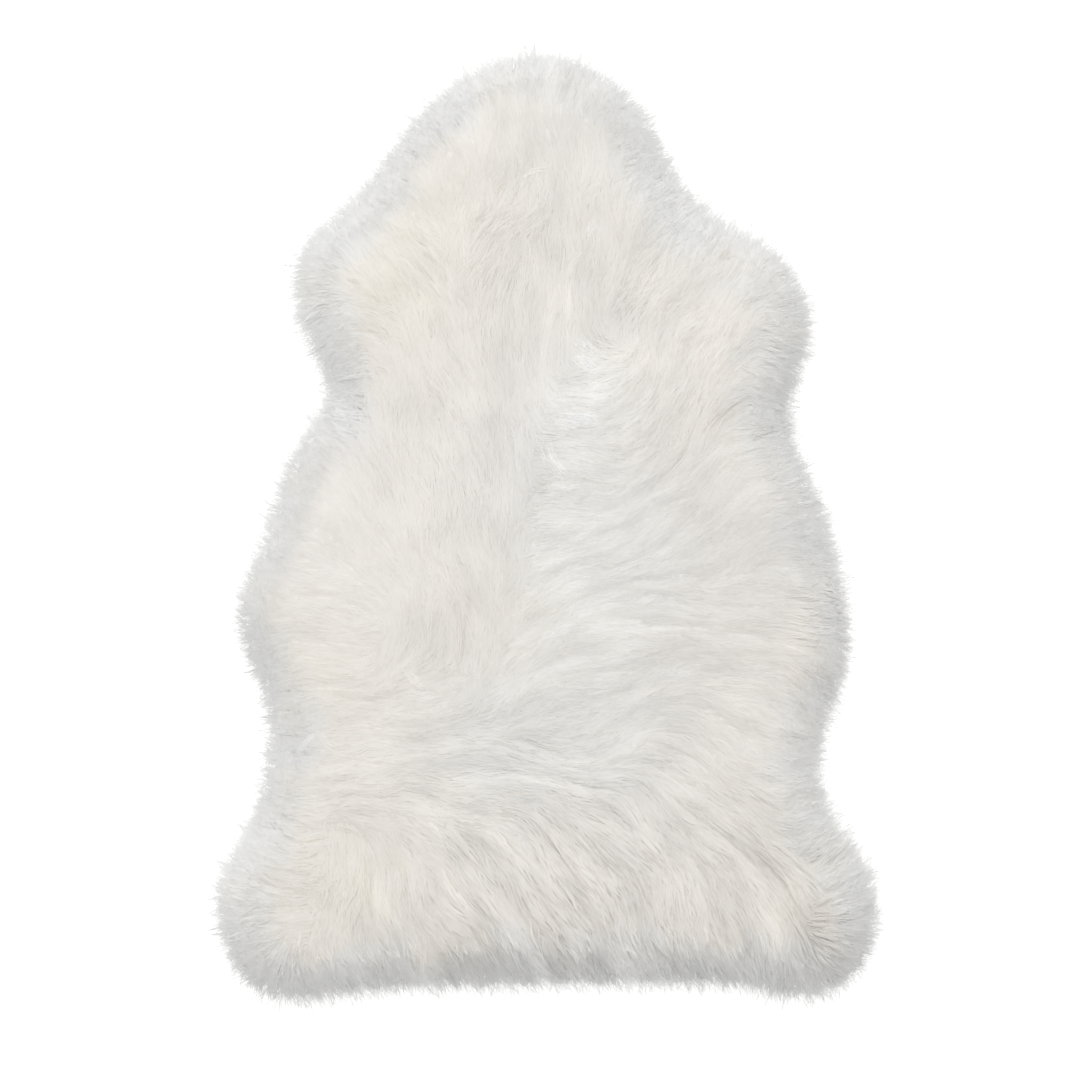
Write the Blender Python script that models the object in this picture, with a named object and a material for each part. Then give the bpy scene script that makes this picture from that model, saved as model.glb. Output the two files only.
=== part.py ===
"""A longwool sheepskin rug lying flat on the floor, wool side up.

It is one piece, as the real one is: a tanned hide with its wool on. Underneath is the flat leather with its
cut edge, and above it the fleece, a lumpy slab of wool whose rim breaks up into tapered locks that reach past
the hide and down to the floor. The neck points along +Y, and the origin is on the floor in the middle of the
rug's box.
"""

import math
import random

import bmesh
import bpy
from mathutils import Vector, noise
from mathutils.geometry import delaunay_2d_cdt

# Driving dimensions, in metres.
HIDE_THICKNESS = 0.002
HIDE_INSET = 0.034  # from the wool's outer edge in to the hide's cut edge
PILE_HEIGHT = 0.050  # floor to the top of the pile
PILE_ROUNDING = 0.055  # how far in from the rim the pile reaches its full height
LUMP_HEIGHT = 0.0055
LUMP_WIDTH, LUMP_LENGTH = 0.034, 0.055
TUFT_SPACING = 0.0175  # between the points of the lumpy top
TUFT_SHIFT = 0.22  # how far those points stray from even rows, as a share of their spacing

TIERS = 3
LOCKS_PER_TIER = 78
RIM_SEGMENTS = TIERS * LOCKS_PER_TIER  # the tiers' locks take turns along the rim
LOCK_INSET = 0.0165  # from the wool's outer edge in to where the lowest locks root: the edge of the body
LOCK_SECTIONS = (
    # along, width, thickness: shares of the lock's length, and of its root's width and thickness
    (0.38, 1.00, 0.80),
    (0.74, 0.68, 0.50),
)
LOCK_OVERREACH = 1.10  # a lock's length, as a share of the way to the wool's outer edge
LOCK_LENGTH_SPREAD = 0.20  # share by which a lock may be longer or shorter
LOCK_HOOK = 0.38  # how far a lock's tip may hook sideways, as a share of its length
TIP_HEIGHT_SPREAD = 0.15

# The rim from the floor up: how far inside the body's edge each row of its points stands, and its height.
RIM_ROWS = (
    # row, inside, height
    ("under the lowest locks", 0.000, 0.002),
    ("under the middle locks", -0.001, 0.013),
    ("under the highest locks", 0.004, 0.025),
    ("where the top begins", 0.014, 0.036),
)
TIP_HEIGHTS = (0.000, 0.009, 0.019)  # of each tier's locks; the lowest lie flat on the floor

# The wool's outer edge at sections across the rug, from the neck to the rump.
SECTIONS = (
    # section, y, left x, right x
    ("neck top", 0.441, -0.068, 0.052),
    ("neck", 0.420, -0.095, 0.081),
    ("neck", 0.390, -0.128, 0.102),
    ("neck", 0.355, -0.154, 0.116),
    ("neck root", 0.323, -0.178, 0.138),
    ("neck root", 0.300, -0.203, 0.168),
    ("shoulder", 0.272, -0.230, 0.219),
    ("shoulder", 0.238, -0.242, 0.245),
    ("shoulder", 0.200, -0.238, 0.257),
    ("shoulder", 0.166, -0.225, 0.255),
    ("armpit", 0.134, -0.210, 0.241),
    ("armpit", 0.100, -0.228, 0.240),
    ("ribs", 0.048, -0.253, 0.259),
    ("ribs", 0.000, -0.271, 0.276),
    ("belly", -0.047, -0.289, 0.290),
    ("belly", -0.080, -0.295, 0.292),
    ("belly", -0.114, -0.290, 0.296),
    ("flank", -0.150, -0.275, 0.287),
    ("flank", -0.190, -0.267, 0.272),
    ("waist", -0.228, -0.272, 0.266),
    ("waist", -0.268, -0.279, 0.278),
    ("haunch", -0.304, -0.303, 0.305),
    ("haunch", -0.345, -0.318, 0.322),
    ("hind leg", -0.380, -0.312, 0.320),
    ("hind leg", -0.418, -0.298, 0.307),
    ("hind leg", -0.443, -0.275, 0.278),
)
NECK_CROWN = (0.003, 0.456)
RUMP_EDGE = (
    # x, y: the wool's edge between the hind legs, from right to left
    (0.232, -0.453),
    (0.190, -0.442),
    (0.105, -0.439),
    (-0.020, -0.440),
    (-0.160, -0.445),
    (-0.232, -0.456),
)

# The line along the back where the wool parts, as a shallow trough.
PARTING = (
    # x, y
    (0.050, 0.176),
    (0.028, 0.105),
    (0.003, 0.048),
    (-0.010, -0.028),
    (-0.033, -0.104),
    (-0.062, -0.152),
)
PARTING_DEPTH, PARTING_WIDTH = 0.006, 0.013

WOOL_COLOUR, WOOL_ROUGHNESS = (0.86, 0.84, 0.80), 0.85
LEATHER_COLOUR, LEATHER_ROUGHNESS = (0.80, 0.73, 0.62), 0.75


def clear_scene():
    for old in list(bpy.data.objects):
        bpy.data.objects.remove(old)


def plain_material(name, colour, roughness):
    made = bpy.data.materials.new(name)
    made.use_nodes = True
    shader = made.node_tree.nodes["Principled BSDF"]
    shader.inputs["Base Color"].default_value = (*colour, 1)
    shader.inputs["Roughness"].default_value = roughness
    return made


def through(points, steps=12):
    """A closed smooth line through the points, as Catmull-Rom spans."""
    line = []
    count = len(points)
    for i in range(count):
        a, b, c, d = (Vector(points[(i + k) % count]) for k in (-1, 0, 1, 2))
        for s in range(steps):
            t = s / steps
            line.append(
                0.5 * (2 * b + (c - a) * t + (2 * a - 5 * b + 4 * c - d) * t**2 + (3 * b - a - 3 * c + d) * t**3)
            )
    return line


def evenly(line, count):
    """The closed line as this many points, the same distance apart."""
    ends = line + line[:1]
    along = [0.0]
    for a, b in zip(ends, ends[1:]):
        along.append(along[-1] + (b - a).length)
    points, i = [], 0
    for k in range(count):
        want = along[-1] * k / count
        while along[i + 1] < want:
            i += 1
        share = (want - along[i]) / (along[i + 1] - along[i])
        points.append(ends[i].lerp(ends[i + 1], share))
    return points


def outwards(line):
    """The direction out of the closed clockwise line at each of its points."""
    found = []
    for i in range(len(line)):
        along = line[(i + 1) % len(line)] - line[i - 1]
        found.append(Vector((-along.y, along.x)).normalized())
    return found


def relaxed(line):
    """Each point drawn towards the middle of its neighbours, which keeps tight bends from folding over."""
    return [p * 0.6 + (line[i - 1] + line[(i + 1) % len(line)]) * 0.2 for i, p in enumerate(line)]


def moved_in(line, distance):
    """The closed line moved inwards, at most 4 mm at a time so that it never crosses itself."""
    steps = max(1, math.ceil(abs(distance) / 0.004))
    for _ in range(steps):
        line = relaxed([p - n * (distance / steps) for p, n in zip(line, outwards(line))])
    return line


def distance_to(line, point, closed=True):
    """How far the point is from the line."""
    best = math.inf
    for i in range(0 if closed else 1, len(line)):
        a, b = line[i - 1], line[i]
        share = max(0.0, min(1.0, (point - a).dot(b - a) / (b - a).length_squared))
        best = min(best, (point - a.lerp(b, share)).length)
    return best


def holds(line, point):
    """True if the point is inside the closed line."""
    inside = False
    for i, b in enumerate(line):
        a = line[i - 1]
        if (a.y > point.y) != (b.y > point.y) and point.x < a.x + (b.x - a.x) * (point.y - a.y) / (b.y - a.y):
            inside = not inside
    return inside


def wool_edge():
    """The wool's outer edge, clockwise from the crown of the neck."""
    right = [(x, y) for _, y, _, x in SECTIONS]
    left = [(x, y) for _, y, x, _ in SECTIONS]
    return evenly(through([NECK_CROWN, *right, *RUMP_EDGE, *reversed(left)]), RIM_SEGMENTS)


def parting_depth(point):
    """How deep the parting in the wool is at this place."""
    line = [Vector(p) for p in PARTING]
    return PARTING_DEPTH * math.exp(-((distance_to(line, point, closed=False) / PARTING_WIDTH) ** 2))


def top_height(point, inside):
    """The height of the pile's lumpy top at this place, this far inside the body's edge."""
    _, start, low = RIM_ROWS[-1]
    rise = min(1.0, max(0.0, (inside - start) / PILE_ROUNDING))
    dome = low + (PILE_HEIGHT - LUMP_HEIGHT - low) * math.sqrt(1 - (1 - rise) ** 2)
    place = Vector((point.x / LUMP_WIDTH, point.y / LUMP_LENGTH, 0.0))
    lumps = LUMP_HEIGHT * (noise.noise(place) + 0.5 * noise.noise(place * 2.3))
    return dome + lumps * min(1.0, 2 * rise) - parting_depth(point)


def tuft_points(edge):
    """Uneven hexagonal rows of points inside the closed line, for the lumpy top."""
    chance = random.Random(11)
    low_x, high_x = min(p.x for p in edge), max(p.x for p in edge)
    low_y, high_y = min(p.y for p in edge), max(p.y for p in edge)
    row_step = TUFT_SPACING * math.sqrt(3) / 2
    points = []
    for row in range(int((high_y - low_y) / row_step) + 1):
        for column in range(int((high_x - low_x) / TUFT_SPACING) + 1):
            even = Vector((low_x + (column + 0.5 * (row % 2)) * TUFT_SPACING, low_y + row * row_step))
            shift = Vector((chance.uniform(-TUFT_SHIFT, TUFT_SHIFT), chance.uniform(-TUFT_SHIFT, TUFT_SHIFT)))
            point = even + shift * TUFT_SPACING
            if holds(edge, point) and distance_to(edge, point) > 0.6 * TUFT_SPACING:
                points.append(point)
    return points


def ring_of(mesh, line, height):
    return [mesh.verts.new((p.x, p.y, height)) for p in line]


def bridge(mesh, lower, upper):
    """The band of four-sided faces between two rings of as many points."""
    band = []
    for i in range(len(lower)):
        following = (i + 1) % len(lower)
        band.append(mesh.faces.new((lower[i], upper[i], upper[following], lower[following])))
    return band


def add_top(mesh, rim, body_edge):
    """The lumpy top inside the rim's highest row, as evenly spread triangles."""
    edge = [v.co.xy for v in rim]
    loops = [(i, (i + 1) % len(edge)) for i in range(len(edge))]
    flat, _, faces, source, _, _ = delaunay_2d_cdt(edge + tuft_points(edge), loops, [], 1, 1e-7)
    corners = []
    for point, came_from in zip(flat, source):
        if came_from and came_from[0] < len(rim):
            corners.append(rim[came_from[0]])
        else:
            height = top_height(point, distance_to(body_edge, point))
            corners.append(mesh.verts.new((point.x, point.y, height)))
    for face in faces:
        mesh.faces.new([corners[i] for i in face])


def grow_lock(mesh, root, out, length, hook, tip_height):
    """Pulls a face of the rim out into one tapered lock, which hooks sideways and ends in a point."""
    corners = list(root.verts)
    middle = sum((v.co for v in corners), Vector()) / 4
    along = Vector((*out, 0.0)) * length
    aside = Vector((out.y, -out.x, 0.0)) * length * hook
    mesh.faces.remove(root)

    def centre(share):
        return middle + along * share + aside * share**2 + Vector((0, 0, (tip_height - middle.z) * share**1.4))

    before = corners
    for share, width, thickness in LOCK_SECTIONS:
        after = []
        for corner in corners:
            point = centre(share) + (corner.co - middle) * Vector((width, width, thickness))
            if tip_height == 0.0 and corner.co.z < middle.z:
                point.z = 0.0
            after.append(mesh.verts.new(point))
        for i in range(4):
            mesh.faces.new((before[i], before[(i + 1) % 4], after[(i + 1) % 4], after[i]))
        before = after
    tip = mesh.verts.new(centre(1.0))
    for i in range(4):
        mesh.faces.new((before[i], before[(i + 1) % 4], tip))


def grow_locks(mesh, bands, body_edge, edge):
    """The tiers of locks, which take turns along the rim, so that no two in a tier touch."""
    chance = random.Random(5)
    directions = outwards(body_edge)
    for i in range(RIM_SEGMENTS):
        tier = i % TIERS
        root = bands[tier][i]
        out = (directions[i] + directions[(i + 1) % RIM_SEGMENTS]).normalized()
        middle = sum((v.co.xy for v in root.verts), Vector((0, 0))) / 4
        reach = distance_to(edge, middle) * LOCK_OVERREACH
        length = reach * (1 + chance.uniform(-LOCK_LENGTH_SPREAD, LOCK_LENGTH_SPREAD))
        hook = chance.uniform(-LOCK_HOOK, LOCK_HOOK)
        tip_height = TIP_HEIGHTS[tier] * (1 + chance.uniform(-TIP_HEIGHT_SPREAD, TIP_HEIGHT_SPREAD))
        grow_lock(mesh, root, out, length, hook, tip_height)


def make_sheepskin():
    """The whole rug: the hide's underside and cut edge, the rim with its locks, and the lumpy top."""
    mesh = bmesh.new()
    edge = wool_edge()
    body_edge = moved_in(edge, LOCK_INSET)
    hide_edge = moved_in(body_edge, HIDE_INSET - LOCK_INSET)

    hide_foot = ring_of(mesh, hide_edge, 0.0)
    hide_lip = ring_of(mesh, hide_edge, HIDE_THICKNESS)
    leather = [mesh.faces.new(hide_foot), *bridge(mesh, hide_foot, hide_lip)]
    for face in leather:
        face.material_index = 1

    rows = [ring_of(mesh, moved_in(body_edge, inside), height) for _, inside, height in RIM_ROWS]
    bridge(mesh, hide_lip, rows[0])
    bands = [bridge(mesh, lower, upper) for lower, upper in zip(rows, rows[1:])]
    add_top(mesh, rows[-1], body_edge)
    grow_locks(mesh, bands, body_edge, edge)
    bmesh.ops.recalc_face_normals(mesh, faces=mesh.faces)

    data = bpy.data.meshes.new("sheepskin")
    mesh.to_mesh(data)
    mesh.free()
    data.materials.append(plain_material("wool", WOOL_COLOUR, WOOL_ROUGHNESS))
    data.materials.append(plain_material("leather", LEATHER_COLOUR, LEATHER_ROUGHNESS))
    rug = bpy.data.objects.new("sheepskin", data)
    bpy.context.scene.collection.objects.link(rug)
    return rug


def centre_on_origin(rug):
    """Moves the rug's points so that the origin is in the middle of its box, seen from above."""
    points = [v.co.copy() for v in rug.data.vertices]
    middle_x = (min(p.x for p in points) + max(p.x for p in points)) / 2
    middle_y = (min(p.y for p in points) + max(p.y for p in points)) / 2
    for vertex in rug.data.vertices:
        vertex.co -= Vector((middle_x, middle_y, 0.0))


clear_scene()
centre_on_origin(make_sheepskin())
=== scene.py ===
import math

import bpy
import numpy as np
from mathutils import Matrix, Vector
from mathutils.bvhtree import BVHTree


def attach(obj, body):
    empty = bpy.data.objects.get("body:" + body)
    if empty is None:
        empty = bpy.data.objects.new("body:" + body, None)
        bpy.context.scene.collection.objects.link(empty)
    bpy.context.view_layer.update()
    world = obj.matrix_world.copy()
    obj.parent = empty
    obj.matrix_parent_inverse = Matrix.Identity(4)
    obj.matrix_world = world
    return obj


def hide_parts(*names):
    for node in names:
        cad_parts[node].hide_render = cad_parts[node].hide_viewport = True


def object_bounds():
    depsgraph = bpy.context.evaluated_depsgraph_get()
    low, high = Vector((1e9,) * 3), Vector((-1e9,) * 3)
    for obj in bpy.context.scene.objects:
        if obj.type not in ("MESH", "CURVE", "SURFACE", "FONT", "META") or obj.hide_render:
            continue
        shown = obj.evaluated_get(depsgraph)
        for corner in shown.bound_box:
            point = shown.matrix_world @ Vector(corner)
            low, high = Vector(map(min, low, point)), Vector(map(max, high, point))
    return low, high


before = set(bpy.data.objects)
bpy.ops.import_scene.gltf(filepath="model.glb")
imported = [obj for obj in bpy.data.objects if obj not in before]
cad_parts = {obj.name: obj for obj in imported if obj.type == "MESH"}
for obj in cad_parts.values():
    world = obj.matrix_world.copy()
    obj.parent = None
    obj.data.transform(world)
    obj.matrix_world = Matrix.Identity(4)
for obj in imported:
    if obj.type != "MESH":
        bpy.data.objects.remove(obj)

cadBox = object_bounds()
boxLow, boxHigh = cadBox
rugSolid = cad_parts["sheepskin"]
seeds = {"lie": 3, "streaks": 5, "wool": 7}

shot = {
    "x": -0.0081,  # the rug is a little right of the picture's middle
    "y": -0.009,
    "height": 3.01,
    "lens": 105,
    "clipEnd": 60,
}
studio = {
    "sky": 0.64,
    "bounces": 14,  # pale wool passes light on many times
    "keyPower": 268,
    "keySize": 4.8,
    "keyPlace": (-1.1, 5.3, 5.8),  # up past the neck, so the rump's rim is in shade
    "floorSize": 16,
    "floorDrop": 0.0005,
    "floorColour": 0.7,
    "floorRoughness": 0.9,
    "floorGlow": 0.62,  # keeps the floor white
}


def added(name, data):
    thing = bpy.data.objects.new(name, data)
    bpy.context.collection.objects.link(thing)
    return thing


def setInputs(node, **values):
    for name, value in values.items():
        node.inputs[name.replace("_", " ")].default_value = value


def makeCamera():
    camera = added("camera", bpy.data.cameras.new("camera"))
    camera.location = (shot["x"], shot["y"], shot["height"])
    camera.data.lens = shot["lens"]
    camera.data.clip_end = shot["clipEnd"]
    bpy.context.scene.camera = camera


def makeLight():
    scene = bpy.context.scene
    scene.view_settings.view_transform = "Standard"
    scene.cycles.diffuse_bounces = studio["bounces"]
    scene.cycles.max_bounces = studio["bounces"]
    world = bpy.data.worlds.new("studio")
    world.use_nodes = True
    setInputs(world.node_tree.nodes["Background"], Color=(1, 1, 1, 1), Strength=studio["sky"])
    scene.world = world
    key = added("key", bpy.data.lights.new("key", "AREA"))
    key.data.shape = "DISK"
    key.data.size = studio["keySize"]
    key.data.energy = studio["keyPower"]
    key.location = studio["keyPlace"]
    key.rotation_euler = Vector(studio["keyPlace"]).to_track_quat("Z", "Y").to_euler()


def makeFloor():
    half = studio["floorSize"] / 2
    mesh = bpy.data.meshes.new("floor")
    corners = [(-half, -half, 0), (half, -half, 0), (half, half, 0), (-half, half, 0)]
    mesh.from_pydata(corners, [], [(0, 1, 2, 3)])
    floor = added("floor", mesh)
    floor.location.z = -studio["floorDrop"]
    paint = bpy.data.materials.new("floorPaint")
    paint.use_nodes = True
    shader = paint.node_tree.nodes["Principled BSDF"]
    setInputs(shader, Base_Color=(*[studio["floorColour"]] * 3, 1), Roughness=studio["floorRoughness"])
    setInputs(shader, Emission_Color=(1, 1, 1, 1), Emission_Strength=studio["floorGlow"])
    mesh.materials.append(paint)


# the form under the wool is read from the solid, on a grid seen from above
formGrid = {
    "step": 0.002,
    "margin": 0.07,
    "ringHeight": 0.013,  # the solid's ring of points at this height is its rim
    "soften": 0.007,  # blur of the solid's lumpy top, of the way out and of the slopes
    "softenRim": 0.004,
    "softenOut": 0.008,
    "softenSlope": 0.0035,
    "solidFrom": (0.014, 0.034),  # between these the solid's own top takes over from the rim's profile
}
rimProfile = (
    # how far inside the rim, how high the wool stands there
    (-0.017, 0.0), (-0.013, 0.007), (-0.01, 0.012), (-0.006, 0.0175), (0.0, 0.0245), (0.006, 0.03),
    (0.014, 0.036), (0.03, 0.043), (0.055, 0.047),
)
rimShift = (
    # x, y, radius, how much farther out than the solid's rim the wool's rim is there
    (0.238, 0.105, 0.035, -0.0055), (-0.216, 0.133, 0.028, -0.0065), (-0.275, -0.161, 0.03, -0.0035),
    (0.28, -0.22, 0.07, -0.003), (-0.02, -0.44, 0.1, -0.0032), (-0.21, -0.44, 0.05, -0.0035),
    (0.18, -0.44, 0.05, -0.0038), (-0.04, 0.45, 0.05, 0.0035), (-0.11, 0.405, 0.04, 0.003),
    (-0.22, 0.29, 0.04, 0.0055), (-0.31, -0.41, 0.045, 0.0035), (0.28, -0.035, 0.025, -0.002),
    (-0.25, 0.075, 0.03, 0.0045), (-0.296, -0.08, 0.035, 0.0035), (0.244, 0.225, 0.035, 0.002),
    (0.1, 0.37, 0.05, 0.0035), (-0.2, 0.2, 0.3, 0.0015), (0.262, 0.02, 0.03, 0.0012),
    (0.2, 0.276, 0.035, 0.0012),
)
rimSweep = (
    # x, y, radius, degrees that the wool of the rim is combed round from straight out
    (0.02, -0.43, 0.11, 30), (0.2, -0.43, 0.06, 22), (-0.16, -0.43, 0.06, 14), (0.27, -0.08, 0.09, -14),
)
form = {}


def near(x, y, px, py, radius):
    return np.exp(-((x - px) ** 2 + (y - py) ** 2) / (2 * radius ** 2))


def blots(rows, x, y):
    # soft round blots, added up: each row holds x, y, radius and strength
    return sum(strength * near(x, y, px, py, radius) for px, py, radius, strength in rows)


def smooth(low, high, value):
    t = np.clip((value - low) / (high - low), 0, 1)
    return t * t * (3 - 2 * t)


def blurred(values, cells):
    reach = int(3 * cells) + 1
    weights = np.exp(-0.5 * (np.arange(-reach, reach + 1) / cells) ** 2)
    weights /= weights.sum()
    for axis in (0, 1):
        padding = [(reach, reach) if axis == k else (0, 0) for k in (0, 1)]
        padded = np.pad(values, padding, mode="edge")
        values = np.apply_along_axis(np.convolve, axis, padded, weights, mode="valid")
    return values


def evenNoise(random, shape, cells):
    # soft noise with blots of about that many cells and a spread of 1
    soft = blurred(random.normal(0, 1, shape), cells)
    return soft / soft.std()


def rimPoints():
    points = np.array([v.co for v in rugSolid.data.vertices])
    ring = points[abs(points[:, 2] - formGrid["ringHeight"]) < 1e-4][:, :2]
    ring = np.unique(np.round(ring, 6), axis=0)
    return ring[np.argsort(np.arctan2(ring[:, 1], ring[:, 0]))]


def distanceInside(ring, x, y):
    nearest = np.full(x.shape, np.inf)
    inside = np.zeros(x.shape, bool)
    for (ax, ay), (bx, by) in zip(ring, np.roll(ring, -1, 0)):
        dx, dy = bx - ax, by - ay
        along = np.clip(((x - ax) * dx + (y - ay) * dy) / (dx * dx + dy * dy), 0, 1)
        nearest = np.minimum(nearest, (x - ax - along * dx) ** 2 + (y - ay - along * dy) ** 2)
        if dy:
            inside ^= ((ay > y) != (by > y)) & (x < ax + (y - ay) / dy * dx)
    return np.where(inside, 1, -1) * np.sqrt(nearest)


def shiftedRim(ring):
    along = np.roll(ring, -2, 0) - np.roll(ring, 2, 0)
    out = np.stack([along[:, 1], -along[:, 0]], -1) / np.linalg.norm(along, axis=1)[:, None]
    return ring + out * blots(rimShift, *ring.T)[:, None]


def solidTop(gx, gy):
    mesh = rugSolid.data
    tree = BVHTree.FromPolygons([v.co for v in mesh.vertices], [p.vertices for p in mesh.polygons])
    heights = np.zeros(gx.size)
    down = Vector((0, 0, -1))
    for k, (x, y) in enumerate(zip(gx.ravel(), gy.ravel())):
        hit = tree.ray_cast(Vector((x, y, 1)), down)[0]
        heights[k] = hit.z if hit else 0
    return heights.reshape(gx.shape)


def readForm():
    step, margin = formGrid["step"], formGrid["margin"]
    xs = np.arange(boxLow.x - margin, boxHigh.x + margin, step)
    ys = np.arange(boxLow.y - margin, boxHigh.y + margin, step)
    gx, gy = np.meshgrid(xs, ys)
    ring = shiftedRim(rimPoints())
    inside = distanceInside(ring, gx, gy)
    slopeY, slopeX = np.gradient(blurred(inside, formGrid["softenOut"] / step), step)
    size = np.hypot(slopeX, slopeY) + 1e-6
    top = blurred(solidTop(gx, gy), formGrid["soften"] / step)
    rounded = blurred(np.interp(inside, *zip(*rimProfile)), formGrid["softenRim"] / step)
    height = rounded + (top - rounded) * smooth(*formGrid["solidFrom"], inside)
    outX, outY = -slopeX / size, -slopeY / size
    sweep = np.radians(blots(rimSweep, gx, gy))
    c, s = np.cos(sweep), np.sin(sweep)
    form.update(xs=xs, ys=ys, step=step, ring=ring, inside=inside, height=height, outX=outX, outY=outY)
    form.update(combX=outX * c - outY * s, combY=outX * s + outY * c)


def read(name, x, y):
    values = form[name]
    i = np.clip((x - form["xs"][0]) / form["step"], 0, values.shape[1] - 1.001)
    j = np.clip((y - form["ys"][0]) / form["step"], 0, values.shape[0] - 1.001)
    i0, j0 = i.astype(int), j.astype(int)
    fi, fj = i - i0, j - j0
    low = values[j0, i0] * (1 - fi) + values[j0, i0 + 1] * fi
    high = values[j0 + 1, i0] * (1 - fi) + values[j0 + 1, i0 + 1] * fi
    return low * (1 - fj) + high * fj


# which way the wool lies
lie = {
    "reach": 0.032,  # how far each row of the table below turns the wool
    "headReach": 0.075,  # how far it decides which way along its line the wool points
    "wander": ((0.022, 0.14), (0.01, 0.13)),  # size of its meanders, and how far they turn it in radians
    "cloud": 0.012,  # size of the bays that the greyer wool of the rim makes into the warm
    "turnFrom": 0.055,  # from here to the rim the wool turns to point outwards
    "turnTo": 0.01,
    "outPull": 1.2,  # how hard the rim turns it
    "headOut": (0.1, 2.5),  # how much it points outwards anyway, and how much more at the rim
    "grip": 0.97,  # how little the wool of one side of the parting turns that of the other
}
restlessPlaces = (
    # x, y, radius, how much more it meanders there
    (0.01, 0.29, 0.09, 1.2), (-0.11, 0.27, 0.05, 0.8), (-0.06, 0.02, 0.06, 0.6),
)
lieTable = (
    # x, y, heading in degrees: 0 is +X and 90 is towards the neck
    (0, 0.44, 92), (-0.075, 0.4, 112), (0.075, 0.4, 75), (-0.146, 0.281, 122), (-0.075, 0.319, 74),
    (-0.038, 0.225, 92), (0.012, 0.287, 72), (0.076, 0.263, 84), (0.15, 0.3, 60), (0.19, 0.22, 40),
    (0.13, 0.19, 62), (-0.179, 0.135, 112), (-0.21, 0.2, 150), (-0.1, 0.17, 104), (-0.03, 0.15, 96),
    (0.03, 0.19, 88), (-0.169, 0.002, 128), (-0.13, 0.055, 110), (-0.092, 0.06, 275),
    (-0.052, -0.016, 262), (-0.092, -0.003, 280), (-0.128, -0.092, 252), (-0.17, -0.06, 160),
    (-0.077, -0.092, 290), (-0.062, -0.13, 268), (-0.102, -0.146, 200), (0.043, 0.155, -15),
    (0.04, 0.11, -5), (0.024, 0.066, -30), (0.012, 0.04, 2), (0.075, 0.11, 58), (0.038, -0.008, 18),
    (0.05, -0.036, 22), (0.101, 0.058, 52), (0.119, -0.003, 42), (0.153, -0.013, 44), (0.094, -0.067, 12),
    (0, -0.099, 24), (0.076, -0.092, 8), (0.063, -0.155, 30), (0.071, -0.184, 38), (-0.02, -0.14, 44),
    (0.198, -0.079, -15), (0.121, -0.194, -25), (0.142, -0.207, -25), (0.107, -0.258, -38),
    (0.183, -0.27, -38), (-0.128, -0.219, 176), (-0.052, -0.219, 178), (-0.158, -0.229, 170),
    (0, -0.243, -16), (-0.207, -0.202, 190), (-0.107, -0.284, -45), (-0.026, -0.294, -60),
    (-0.178, -0.327, 268), (-0.255, -0.318, 185), (-0.102, -0.397, 292), (0.013, -0.358, 300),
    (0.11, -0.39, 285), (0.2, -0.39, 290), (-0.23, -0.08, 178), (-0.2, 0.06, 140), (0.23, 0.06, 20),
    (0.24, -0.16, -12),
)
partingLine = (
    # x, y: the line that the wool parts along, from the shoulders down
    (0.03, 0.181), (-0.003, 0.086), (-0.013, 0.029), (-0.022, -0.028), (-0.032, -0.076), (-0.041, -0.115),
    (-0.062, -0.143),
)
partingReach = {
    "low": (-0.2, -0.15),  # over these stretches of y the parting fades in and out
    "high": (0.17, 0.22),
    "halfWidth": 0.01,
}


def sideOfParting(x, y):
    # -1 left of the parting, 1 right of it, and towards 0 beyond its ends
    line = sorted(partingLine, key=lambda p: p[1])
    middle = np.interp(y, [p[1] for p in line], [p[0] for p in line])
    ends = smooth(*partingReach["low"], y) * (1 - smooth(*partingReach["high"], y))
    return np.clip((x - middle) / partingReach["halfWidth"], -1, 1) * ends


def readLie():
    gx, gy = np.meshgrid(form["xs"], form["ys"])
    side = sideOfParting(gx, gy)
    lineX, lineY, headX, headY = (np.zeros(gx.shape) for _ in range(4))
    total = np.full(gx.shape, 1e-12)
    for x, y, degrees in lieTable:
        far = (gx - x) ** 2 + (gy - y) ** 2
        weight = np.exp(-far / (2 * lie["reach"] ** 2)) + 1e-9
        own = float(sideOfParting(np.array(x), np.array(y)))
        weight *= 1 - lie["grip"] * np.clip(-own * side, 0, 1)
        wide = np.exp(-far / (2 * lie["headReach"] ** 2)) + 1e-9
        turn = math.radians(degrees)
        lineX += weight * math.cos(2 * turn)
        lineY += weight * math.sin(2 * turn)
        headX += wide * math.cos(turn)
        headY += wide * math.sin(turn)
        total += wide
    random = np.random.default_rng(seeds["lie"])
    wander = sum(swing * evenNoise(random, gx.shape, size / form["step"]) for size, swing in lie["wander"])
    wander *= 1 + blots(restlessPlaces, gx, gy)
    form["cloud"] = evenNoise(random, gx.shape, lie["cloud"] / form["step"])
    c, s = np.cos(2 * wander), np.sin(2 * wander)
    lineX, lineY = lineX * c - lineY * s, lineX * s + lineY * c
    outX, outY = form["combX"], form["combY"]
    outwards = 1 - smooth(lie["turnTo"], lie["turnFrom"], form["inside"])
    size = np.hypot(lineX, lineY) + 1e-12
    form["lineX"] = lineX / size * (1 - outwards) + (outX ** 2 - outY ** 2) * outwards * lie["outPull"]
    form["lineY"] = lineY / size * (1 - outwards) + 2 * outX * outY * outwards * lie["outPull"]
    always, atRim = lie["headOut"]
    form["headX"] = headX / total + outX * (always + atRim * outwards)
    form["headY"] = headY / total + outY * (always + atRim * outwards)


def lineAt(x, y, aheadX, aheadY):
    # the way the wool lies there: of the two ways along its line, the one nearer to ahead
    half = 0.5 * np.arctan2(read("lineY", x, y), read("lineX", x, y))
    lx, ly = np.cos(half), np.sin(half)
    sign = np.where(lx * aheadX + ly * aheadY < 0, -1, 1)
    return lx * sign, ly * sign


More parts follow.
